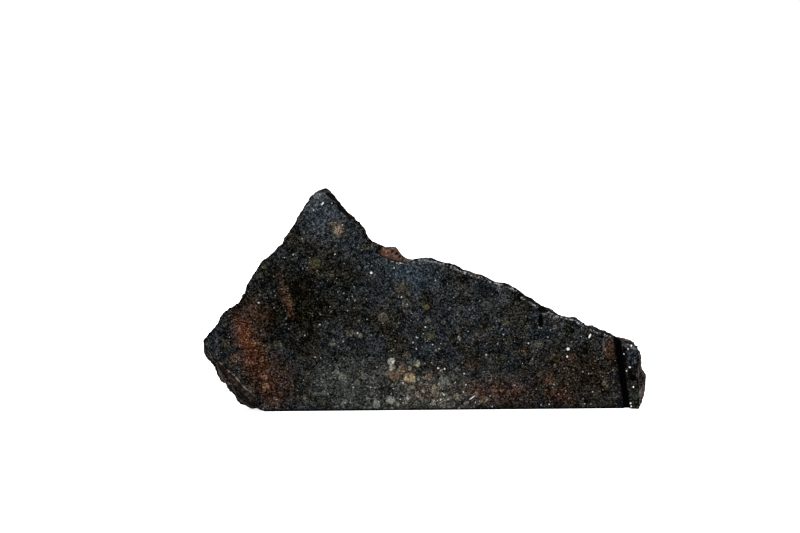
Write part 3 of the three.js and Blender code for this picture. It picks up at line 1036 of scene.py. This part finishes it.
# Single small specks of metal: x, z, radius. The larger ones are also the brighter ones.
SPECK_BRIGHT = 5.5
SPECK_CORE = 0.6
FACE_SPECKS = [
    # In the peak and down its left side.
    (-12.8, 25.5, 0.11), (-11.7, 25.5, 0.08), (-13.9, 24.7, 0.11), (-10.5, 24.3, 0.08),
    (-12.0, 23.5, 0.07), (-10.4, 22.9, 0.10), (-17.5, 20.8, 0.07), (-16.4, 19.3, 0.10),
    (-11.3, 19.3, 0.11), (-20.6, 13.4, 0.12),
    # Left of the middle.
    (-9.2, 14.1, 0.07), (-9.8, 12.4, 0.08), (-13.2, 10.7, 0.12), (-17.0, 10.2, 0.07),
    (-8.6, 9.6, 0.12), (-15.0, 9.4, 0.10), (-13.8, 6.7, 0.09), (-13.1, 6.6, 0.09),
    # Below the saddle.
    (-4.1, 17.6, 0.11), (-6.9, 17.0, 0.12), (-3.6, 14.0, 0.08), (-3.2, 14.0, 0.11),
    (-2.5, 13.1, 0.10), (-2.0, 12.0, 0.08), (-7.4, 11.3, 0.08), (-5.5, 10.8, 0.08),
    # In the middle.
    (-0.3, 10.3, 0.12), (-1.4, 9.1, 0.08), (-1.3, 9.0, 0.10), (0.0, 8.6, 0.08), (-1.8, 8.4, 0.10),
    (1.6, 8.2, 0.08), (0.6, 8.1, 0.11), (-1.4, 7.6, 0.11), (1.4, 7.6, 0.10), (1.0, 7.4, 0.08),
    (-0.3, 5.8, 0.08), (0.5, 5.9, 0.08),
    # To the right of the crowded chondrules.
    (1.3, 5.2, 0.13), (2.1, 5.1, 0.13), (1.8, 5.0, 0.08), (1.6, 4.9, 0.10), (4.5, 4.5, 0.11),
    (3.4, 3.4, 0.10), (4.7, 3.1, 0.11), (4.4, 2.2, 0.10), (1.8, 2.1, 0.09), (2.0, 1.9, 0.14),
    (1.6, 1.3, 0.13), (2.5, 1.3, 0.10), (5.9, 0.9, 0.11), (3.9, 0.2, 0.13),
    # Low down, left of the middle.
    (-11.3, 4.1, 0.08), (-13.9, 3.6, 0.08), (-9.1, 2.9, 0.10), (-7.0, 2.9, 0.09), (-12.2, 2.1, 0.08),
    (-6.3, 1.9, 0.08), (-6.0, 1.1, 0.10), (-10.1, 1.0, 0.10), (-3.0, 3.4, 0.12), (-2.4, 1.4, 0.09),
    (-3.0, 0.9, 0.09), (-3.4, 0.1, 0.10),
    # In the right half.
    (3.2, 13.9, 0.08), (5.5, 12.6, 0.06), (15.1, 9.8, 0.08), (9.3, 9.3, 0.09), (3.8, 9.1, 0.10),
    (10.7, 8.4, 0.08), (12.4, 8.2, 0.12), (7.2, 6.8, 0.12), (11.7, 5.7, 0.09), (7.0, 4.7, 0.06),
    (22.3, 4.4, 0.07), (21.6, 4.0, 0.07), (7.7, 1.7, 0.08), (7.3, 1.2, 0.09), (19.4, 0.6, 0.09),
    (14.0, 0.5, 0.09), (8.0, 0.4, 0.10),
]

# Hollows of the outline, painted black as their shade: middle (x, z), reach (x, z).
SHADED_HOLLOWS = [
    ((14.05, 12.45), (0.7, 0.6)),
    ((13.85, 10.95), (0.34, 0.62)),
    ((25.3, 3.9), (0.5, 0.55)),
    ((-10.6, 25.2), (0.55, 1.0)),
    ((-5.85, 20.0), (0.4, 0.5)),
    ((-5.4, 20.1), (0.22, 0.16)),
    ((-4.6, 20.0), (0.2, 0.22)),
    ((-4.25, 19.5), (0.26, 0.2)),
    ((-3.7, 19.2), (0.3, 0.22)),
    ((-3.35, 18.85), (0.28, 0.18)),
    ((2.7, 18.0), (0.3, 0.3)),
    ((4.0, 17.5), (0.4, 0.25)),
    ((11.4, 14.2), (0.5, 0.35)),
]

# Patches of the broken lip, in the same order as those of the face.
LIP_PATCHES = [
    ((25.1, 6.9), (1.0, 1.9), 0, 0.9, (0.0155, 0.0185, 0.0225), 0.85),
    # A pale painted highlight along the lit top of the lip.
    ((24.7, 7.85), (1.4, 0.35), -22, 0.7, (0.062, 0.066, 0.072), 0.5),
    # Painted shade along the lip's left side, above the groove.
    ((24.1, 6.6), (0.45, 1.6), 0, 0.8, CRUST_BLACK, 0.95),
    ((24.9, 4.6), (0.35, 1.1), 0, 0.9, CRUST_BLACK, 0.8),
    ((25.9, 6.2), (0.3, 1.8), 0, 0.9, CRUST_BLACK, 0.85),
    ((26.0, 3.4), (0.3, 1.9), 0, 0.9, CRUST_BLACK, 0.75),
    ((25.1, 1.6), (0.7, 1.2), 0, 1.0, (0.016, 0.019, 0.015), 0.8),
]

# Metal grains of the lip.
LIP_GRAINS = [
    ((25.01, 7.9), (0.12, 0.18), 0),
    ((24.61, 7.5), (0.12, 0.08), 0),
    ((24.11, 6.89), (0.07, 0.10), 30),
    ((24.84, 5.24), (0.17, 0.1), -20),
    ((24.45, 4.78), (0.08, 0.1), 0),
    ((25.32, 2.78), (0.09, 0.12), 0),
    ((24.98, 0.75), (0.16, 0.11), 0),
    ((25.04, 0.35), (0.17, 0.13), 0),
]

# Patches of the crust where it shows beside the lapped face.
CRUST_PATCHES = [
    ((-4.3, 19.9), (3.2, 2.0), -12, 1.3, (0.070, 0.035, 0.024), 0.9),
    ((5.7, 17.0), (2.0, 0.5), -13, 1.2, (0.080, 0.050, 0.040), 0.6),
    ((15.1, 12.6), (0.8, 0.45), -20, 0.8, (0.110, 0.072, 0.062), 0.8),
    ((-20.4, 0.9), (2.0, 1.5), 0, 0.8, CRUST_BLACK, 0.9),
    ((-27.2, 8.9), (1.6, 1.6), 0, 0.5, CRUST_BLACK, 0.9),
    ((26.7, 6.9), (0.9, 1.8), 0, 0.6, CRUST_BLACK, 0.75),
    ((26.9, 2.6), (0.9, 3.2), 0, 1.2, CRUST_BLACK, 0.6),
]


class Finish(Net):
    """The wiring of one material of the stone, with the shared effects at hand."""

    def __init__(self, name):
        self.material = bpy.data.materials.new(name)
        self.material.use_nodes = True
        super().__init__(self.material.node_tree)
        self.shader = self.tree.nodes["Principled BSDF"]
        self.place = self.group(EFFECTS["stone_place"])

    def effect(self, name, space="Position", **values):
        """One shared effect, laid out over the stone."""
        return self.group(EFFECTS[name], Position=self.place[space], **values)

    def placed(self, middle, reach, turn=0.0, ragged=0.3, space="Position"):
        """The mask of one patch: its middle and reach are (x, z) on the lapped face."""
        return self.effect("patch", space, Centre=(middle[0], 0, middle[1]),
                           Reach=(reach[0], 1, reach[1]), Turn=math.radians(turn),
                           Cloud=self.place["Cloud"], Ragged=ragged)["Mask"]

    def finish(self, colour, height, roughness, specular, strength, depth, metal=None):
        """Wires the shader, with a bump of this strength and of this depth in millimetres."""
        node = self.add("ShaderNodeBump")
        self.feed(node.inputs["Strength"], strength)
        self.feed(node.inputs["Distance"], depth * MM)
        self.feed(node.inputs["Height"], height)
        self.feed(self.shader.inputs["Base Color"], colour)
        self.feed(self.shader.inputs["Metallic"], metal)
        self.feed(self.shader.inputs["Roughness"], roughness)
        self.feed(self.shader.inputs["Specular IOR Level"], specular)
        self.feed(self.shader.inputs["Normal"], node.outputs["Normal"])
        return self.material


# ---------------------------------------------------------------- masks over the stone

def grain_mask(net, grains):
    """The single metal grains of a table, as one mask."""
    return net.most(net.remap(net.placed(*grain), 0.1, 0.35) for grain in grains)


def speck_mask(net):
    """The single small specks of metal, as one mask."""
    flat = net.vector("MULTIPLY", net.place["Broken"], (1.0, 0.0, 1.0))
    masks = []
    for x, z, radius in FACE_SPECKS:
        away = net.vector("DISTANCE", flat, (x, 0.0, z))
        masks.append(net.remap(away, radius, radius * SPECK_CORE, 0.0, SPECK_BRIGHT * radius))
    return net.most(masks)


def lip_shadow(net):
    """Painted shadow that the raised lip casts on the lapped face, along the left side of the groove.
    """
    warped = net.place["Warped"]
    side = net.math("ADD", LIP_FOOT_X - GROOVE_WIDTH, net.times(net.axis(warped, "Z"), LIP_LEAN))
    return net.remap(net.math("SUBTRACT", net.axis(warped, "X"), side), *LIP_SHADOW_REACH)


def left_foot(net):
    """1 in the lower part of the left end, where the outline crumbles."""
    side = net.remap(net.axis(net.place["Warped"], "X"), *FOOT_SIDE)
    height = net.axis(net.place["Warped"], "Z")
    return net.times(side, net.remap(height, *FOOT_TOP), net.remap(height, *FOOT_BOTTOM))


def in_front(net):
    """1 in the front part of the stone and 0 at its back."""
    return net.remap(net.axis(net.place["Position"], "Y"), *FRONT_Y)


def right_end(net):
    """1 on the front crust past the lip, where the stone ends."""
    past = net.remap(net.axis(net.place["Position"], "X"), *RIGHT_END_X)
    return net.times(past, in_front(net))


def shaded_hollows(net):
    """The hollows near the outline painted black as their shade, as one mask."""
    spots = (net.placed(middle, reach, 0.0, SPOT_RAGGED) for middle, reach in SHADED_HOLLOWS)
    return net.times(net.most(net.remap(spot, 0.1, 0.5) for spot in spots), in_front(net))


def worn_distance(net):
    """How far a point lies from the outline of the flat surfaces, with a ragged margin."""
    wander = net.math("SUBTRACT", net.clouds(net.place["Position"], 0.8, 3.0, 0.6), 0.5)
    return net.math("ADD", net.attribute("edge"), net.times(wander, EDGE_WANDER))


def dusty_stretches(net, low, high):
    """Where a line of dust at the left foot shows, between its gaps."""
    shown = net.remap(net.clouds(net.place["Position"], 0.5, 3.0, 0.7), low, high)
    return net.times(shown, left_foot(net))


# ---------------------------------------------------------------- layers of colour

def add_patches(net, colour, patches, limit=1.0):
    """Lays the placed patches of colour over a ground colour."""
    for middle, reach, turn, ragged, tint, strength in patches:
        mask = net.placed(middle, reach, turn, ragged)
        colour = net.mix(net.times(mask, net.times(limit, strength)), colour, tint)
    return colour


def add_beads(net, colour, tone):
    """Draws the single chondrules with their dark rims and their own fine grain."""
    for middle, radius, tint, strength in FACE_BEADS:
        reach = (radius, radius * BEAD_SQUASH)
        body = net.placed(middle, reach, BEAD_TURN * middle[0], BEAD_RAGGED, "Warped")
        rim = net.times(net.remap(body, 0.3, 0.12), BEAD_RIM)
        tinted = net.shade(net.mix(rim, tint, OLIVE_BLACK), tone)
        solid = net.times(net.remap(body, 0.05, 0.25), strength)
        colour = net.mix(solid, colour, tinted)
    return colour


def add_chondrules(net, colour):
    """Round beads of two sizes, some paler and browner than the matrix, with thin dark rims."""
    for spacing, share, dim, bright in CHONDRULE_SIZES:
        beads = net.effect("chondrules", "Warped", Spacing=spacing, Share=share)
        tint = net.mix(net.remap(beads["Tone"], 0.3, 1.0), dim, bright)
        colour = net.mix(beads["Body"], colour, net.shade(colour, tint))
        colour = net.mix(net.times(beads["Rim"], CHONDRULE_RIM), colour, OLIVE_BLACK)
    return colour


def add_crumbs(net, colour, low, tone):
    """Pale crumbs in the lower middle, where the flecks of metal crowd too."""
    crumbs = net.effect("metal_flecks", "Warped", Spacing=0.65, Size=0.3, Share=0.4)["Mask"]
    held = net.times(net.remap(low, 0.1, 0.7), CRUMB_STRENGTH)
    return net.mix(net.times(crumbs, held), colour, net.shade(PALE, tone))


def add_lit_line(net, colour, worn):
    """Painted highlight: pale specks along the outline where it faces the light from above."""
    speckle = net.remap(net.clouds(net.place["Position"], 0.26, 3.0, 0.7), 0.5, 0.6)
    line = net.times(net.attribute("lit"), speckle, net.remap(worn, 0.45, 0.2))
    return net.mix(net.times(line, LIT_LINE), colour, EDGE_HIGHLIGHT)


def add_crumbling_strip(net, colour, worn):
    """The strip at the foot of the left end that crumbles away, below a broken tan line."""
    width = net.remap(net.axis(net.place["Position"], "Z"), *STRIP_Z, *STRIP_WIDTH)
    inside = net.math("SUBTRACT", worn, width)
    strip = net.times(net.remap(inside, 0.05, -0.1), left_foot(net))
    colour = net.mix(net.times(strip, 0.9), colour, CRUST_DARK)
    chips = net.remap(net.clouds(net.place["Warped"], 0.4, 3.0, 0.65), 0.49, 0.6)
    colour = net.mix(net.times(chips, strip, 0.7), colour, CRUST_BROWN)
    tan = net.band(inside, (-0.14, -0.06), (0.07, 0.01))
    return net.mix(net.times(tan, dusty_stretches(net, 0.4, 0.58), 0.6), colour, DUST)


def add_worn_edge(net, colour):
    """The outline of the lapped face: a painted highlight where it is lit, crumbling at the left foot,
    and with a black skin at the very edge, and a painted contact shadow along the base."""
    worn = worn_distance(net)
    colour = add_lit_line(net, colour, worn)
    colour = add_crumbling_strip(net, colour, worn)
    # Painted contact shadow along the base line.
    base = net.remap(net.axis(net.place["Position"], "Z"), *BASE_SHADOW_Z)
    skin = net.most([net.remap(worn, *FACE_SKIN), base])
    return net.mix(net.times(skin, 0.95), colour, CRUST_BLACK)


def add_dusty_edge(net, colour):
    """A black skin right behind the outline, with tan ledges at the foot of the left end."""
    worn = worn_distance(net)
    skin = net.remap(worn, *CRUST_SKIN)
    colour = net.mix(net.times(skin, 0.9), colour, CRUST_BLACK)
    first = net.times(net.band(worn, (0.1, 0.16), (0.3, 0.22)), 0.4)
    second = net.times(net.band(worn, (0.55, 0.62), (0.8, 0.7)), 0.5)
    lines = net.math("ADD", first, second, clamp=True)
    return net.mix(net.times(lines, dusty_stretches(net, 0.45, 0.6)), colour, DUST)


def add_end_ridges(net, colour):
    """Pale upright ridges on the crust at the right end, beside the lip."""
    upright = net.vector("MULTIPLY", net.place["Warped"], (1.0, 1.0, 0.25))
    streaks = net.remap(net.clouds(upright, 0.26, 2.0, 0.6), 0.52, 0.58)
    return net.mix(net.times(right_end(net), streaks, RIDGE_STRENGTH), colour, RIDGE_PINK)


# ---------------------------------------------------------------- materials

def face_metal(net, low):
    """All the metal of the lapped face: the single grains and specks, and the scattered flecks."""
    crowd = net.effect("stain", Size=2.6, Level=0.5, Softness=0.1)["Mask"]
    crowd = net.most([net.times(crowd, 0.6), low])
    masks = [grain_mask(net, FACE_GRAINS), speck_mask(net)]
    for spacing, size, share, few, many in FLECK_SIZES:
        found = net.effect("metal_flecks", "Broken", Spacing=spacing, Size=size, Share=share)["Mask"]
        masks.append(net.times(found, net.remap(crowd, 0.0, 1.0, few, many)))
    return net.most(masks)


def lapped_ground(net):
    """The matrix of the lapped face: two dark hues, the placed patches and a soft mottle."""
    tint = net.effect("stain", Size=3.2, Level=0.52, Softness=0.12)["Mask"]
    colour = add_patches(net, net.mix(tint, BLUE_GREY, BROWN_GREY), FACE_PATCHES)
    mottle = net.effect("stain", Size=1.1, Level=0.5, Softness=0.16)["Mask"]
    return net.shade(colour, net.mix(mottle, MOTTLE_DARK, MOTTLE_PALE))


def lapped_stone():
    """The lapped face: dark matrix with stains, chondrules and metal."""
    net = Finish("lapped stone")
    low = net.placed(*FLECK_CROWD)
    grain = net.effect("mineral_grain", Size=0.15, Contrast=2.45)
    mild = net.effect("mineral_grain", Size=0.22, Contrast=1.9)["Shade"]
    colour = net.shade(add_chondrules(net, lapped_ground(net)), grain["Shade"])
    colour = add_beads(net, add_crumbs(net, colour, low, mild), mild)
    colour = net.mix(1.0, colour, MATRIX_DEPTH, "SUBTRACT")
    metal = face_metal(net, low)
    colour = add_worn_edge(net, net.mix(metal, colour, METAL))
    colour = add_patches(net, colour, TIP_CHIPS)
    # Painted shadow that the lip casts on the lapped face beside the groove.
    colour = net.mix(net.times(lip_shadow(net), LIP_SHADOW_STRENGTH), colour, CRUST_BLACK)
    # Painted shade in the hollows near the outline.
    colour = net.mix(shaded_hollows(net), colour, CRUST_BLACK)
    roughness = net.remap(grain["Height"], 0.3, 0.7, 0.42, 0.62)
    return net.finish(colour, grain["Height"], roughness, specular=0.01, strength=0.2, depth=0.03,
                      metal=net.times(metal, METAL_SHARE))


def sawn_stone():
    """The sawn base: duller than the lapped face, with rust bleeding through."""
    net = Finish("sawn stone")
    tint = net.effect("stain", Size=4.0, Level=0.52, Softness=0.1)["Mask"]
    grain = net.effect("mineral_grain", Size=0.3, Contrast=2.0)
    colour = net.shade(net.mix(tint, SAWN_GREY, SAWN_RUST), grain["Shade"])
    flecks = net.effect("metal_flecks", Spacing=0.8, Size=0.16, Share=0.3)["Mask"]
    colour = net.mix(net.times(flecks, 0.5), colour, METAL)
    return net.finish(colour, grain["Height"], roughness=0.75, specular=0.25, strength=0.4, depth=0.05)


def broken_stone():
    """The broken lip: blue-grey stone and black hollows, with a pale top and bright grains."""
    net = Finish("broken stone")
    grain = net.effect("mineral_grain", Size=0.2, Contrast=2.6)
    colour = net.shade(add_patches(net, LIP_DARK, LIP_PATCHES), grain["Shade"])
    colour = net.mix(1.0, colour, MATRIX_DEPTH, "SUBTRACT")
    flecks = net.effect("metal_flecks", "Broken", Spacing=0.9, Size=0.13, Share=0.35)["Mask"]
    metal = net.most([net.times(flecks, 0.25), grain_mask(net, LIP_GRAINS)])
    # Painted shade in the hollows near the outline.
    colour = net.mix(shaded_hollows(net), net.mix(metal, colour, METAL), CRUST_BLACK)
    return net.finish(colour, grain["Height"], roughness=0.55, specular=0.02, strength=0.6, depth=0.08,
                      metal=net.times(metal, METAL_SHARE))


def groove_residue_and_shade():
    """The saw groove beside the lip: packed with black residue, and darkened further with painted
    shade.
    """
    net = Finish("groove residue and shade")
    grain = net.effect("mineral_grain", Size=0.3, Contrast=1.5)
    # Nearly black: residue in the groove, and painted shade of its depth.
    colour = net.shade(CRUST_BLACK, grain["Shade"])
    return net.finish(colour, grain["Height"], roughness=0.85, specular=0.03, strength=0.4, depth=0.05)


def crust_level(net):
    """How high a point of the crust stands, with a crumbly margin."""
    crumble = net.math("SUBTRACT", net.clouds(net.place["Position"], 0.45, 3.0, 0.6), 0.5)
    return net.math("ADD", net.attribute("relief"), net.times(crumble, LEVEL_WANDER))


def crust_ground(net, front, hue, level):
    """Brown and grey crests with dark patches, over nearly black hollows."""
    patches = net.effect("stain", "Warped", Size=4.5, Level=0.5, Softness=0.07)["Mask"]
    held = net.remap(front, 0.0, 1.0, 0.85, 0.75)
    crest = net.mix(net.times(patches, held), net.mix(hue, CRUST_BROWN, CRUST_GREY), CRUST_DARK)
    crest = net.mix(right_end(net), crest, CRUST_DARK)
    raised = net.remap(level, net.remap(front, 0.0, 1.0, -0.2, 0.0), 0.16)
    return net.mix(raised, net.mix(front, CRUST_HOLLOW, CRUST_BLACK), crest)


def weathered_crust():
    """The natural outside: brown and grey on its crests, black in its pits, with dust in places."""
    net = Finish("weathered crust")
    front = in_front(net)
    level = crust_level(net)
    hue = net.effect("stain", Size=7.0, Level=0.5, Softness=0.08)["Mask"]
    dust = net.effect("stain", Size=1.9, Level=0.6, Softness=0.05)["Mask"]
    colour = net.mix(net.times(dust, 0.12), crust_ground(net, front, hue, level), DUST)
    cracks = net.effect("crackle", "Warped", Spacing=3.4, Width=0.09)["Mask"]
    colour = net.mix(net.times(cracks, 0.75), colour, CRUST_BLACK)
    colour = add_patches(net, add_dusty_edge(net, colour), CRUST_PATCHES, front)
    colour = add_end_ridges(net, colour)
    pitted = net.times(net.remap(level, -0.03, -0.12), net.remap(front, 0.0, 1.0, 0.5, 1.0))
    grain = net.effect("mineral_grain", Size=0.26, Contrast=1.8)
    colour = net.shade(net.mix(pitted, colour, CRUST_BLACK), grain["Shade"])
    # Painted shade in the hollows near the outline.
    colour = net.mix(shaded_hollows(net), colour, CRUST_BLACK)
    height = net.math("SUBTRACT", grain["Height"], net.times(cracks, 1.2))
    roughness = net.remap(hue, 0.0, 1.0, 0.55, 0.8)
    return net.finish(colour, height, roughness, specular=0.03, strength=0.7, depth=0.09)


# ---------------------------------------------------------------- stage, light and camera

# The camera looks at AIM from a little left of square and a little above the stone.
AIM = Vector((-3.389, -5.92, 17.758)) * MM
CAMERA_TURN = math.radians(-3)
CAMERA_RISE = math.radians(6)
CAMERA_DISTANCE = 271 * MM
CAMERA_CLIP = (0.005, 20)
LENS = 100
SENSOR = 36

# The soft square lights: name, place and size in millimetres, and power in watts.
LIGHTS = [
    ("key", (170, -120, 260), 150, 1.6),
    ("fill", (-220, -160, 120), 200, 0.25),
    ("back", (-120, 260, 220), 180, 1.4),
]
LIT_MIDDLE = Vector((0, 0, 12)) * MM

# The white table, in metres, and how bright the room lights and how bright it is seen.
TABLE_HALF = 3.0
TABLE_DROP = -0.01 * MM
TABLE_COLOUR = (0.6, 0.61, 0.62, 1)
TABLE_GLOW = (0.97, 0.985, 1, 1)
ROOM_LIGHT = 0.5
ROOM_SEEN = 1.1


def look_at(thing, target):
    """Turns a camera or light so that it looks at the target."""
    thing.rotation_euler = (target - thing.location).to_track_quat("-Z", "Y").to_euler()


def add_camera():
    """The camera, aimed at the stone."""
    data = bpy.data.cameras.new("camera")
    data.lens = LENS
    data.sensor_width = SENSOR
    data.clip_start, data.clip_end = CAMERA_CLIP
    camera = bpy.data.objects.new("camera", data)
    bpy.context.collection.objects.link(camera)
    out = Vector((math.sin(CAMERA_TURN) * math.cos(CAMERA_RISE),
                  -math.cos(CAMERA_TURN) * math.cos(CAMERA_RISE),
                  math.sin(CAMERA_RISE)))
    camera.location = AIM + out * CAMERA_DISTANCE
    look_at(camera, AIM)
    bpy.context.scene.camera = camera


def add_light(name, place, size, power):
    """One soft square light, aimed at the middle of the stone."""
    data = bpy.data.lights.new(name, "AREA")
    data.size = size * MM
    data.energy = power
    light = bpy.data.objects.new(name, data)
    bpy.context.collection.objects.link(light)
    light.location = Vector(place) * MM
    look_at(light, LIT_MIDDLE)


def add_floor():
    """A plain white table that glows a little, so that it stays white right up to the stone."""
    half = TABLE_HALF
    mesh = bpy.data.meshes.new("floor")
    corners = [(-half, -half, 0), (half, -half, 0), (half, half, 0), (-half, half, 0)]
    mesh.from_pydata(corners, [], [(0, 1, 2, 3)])
    floor = bpy.data.objects.new("floor", mesh)
    bpy.context.collection.objects.link(floor)
    floor.location.z = TABLE_DROP
    material = bpy.data.materials.new("white table")
    material.use_nodes = True
    shader = material.node_tree.nodes["Principled BSDF"]
    shader.inputs["Base Color"].default_value = TABLE_COLOUR
    shader.inputs["Roughness"].default_value = 0.9
    shader.inputs["Emission Color"].default_value = TABLE_GLOW
    shader.inputs["Emission Strength"].default_value = 0.8
    mesh.materials.append(material)


def add_world():
    """An even white room, dimmer as light than it looks."""
    world = bpy.data.worlds.new("room")
    world.use_nodes = True
    net = Net(world.node_tree)
    background = world.node_tree.nodes["Background"]
    seen = net.add("ShaderNodeLightPath").outputs["Is Camera Ray"]
    net.feed(background.inputs["Color"], (1, 1, 1))
    net.feed(background.inputs["Strength"], net.remap(seen, 0.0, 1.0, ROOM_LIGHT, ROOM_SEEN))
    bpy.context.scene.world = world


# ---------------------------------------------------------------- the whole scene

stone = make_stone(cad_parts["meteorite"])
for build in (lapped_stone, sawn_stone, broken_stone, groove_residue_and_shade, weathered_crust):
    stone.data.materials.append(build())
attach(stone, "root")
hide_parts("meteorite")

add_floor()
add_world()
for light in LIGHTS:
    add_light(*light)
add_camera()
bpy.context.scene.view_settings.view_transform = "Standard"
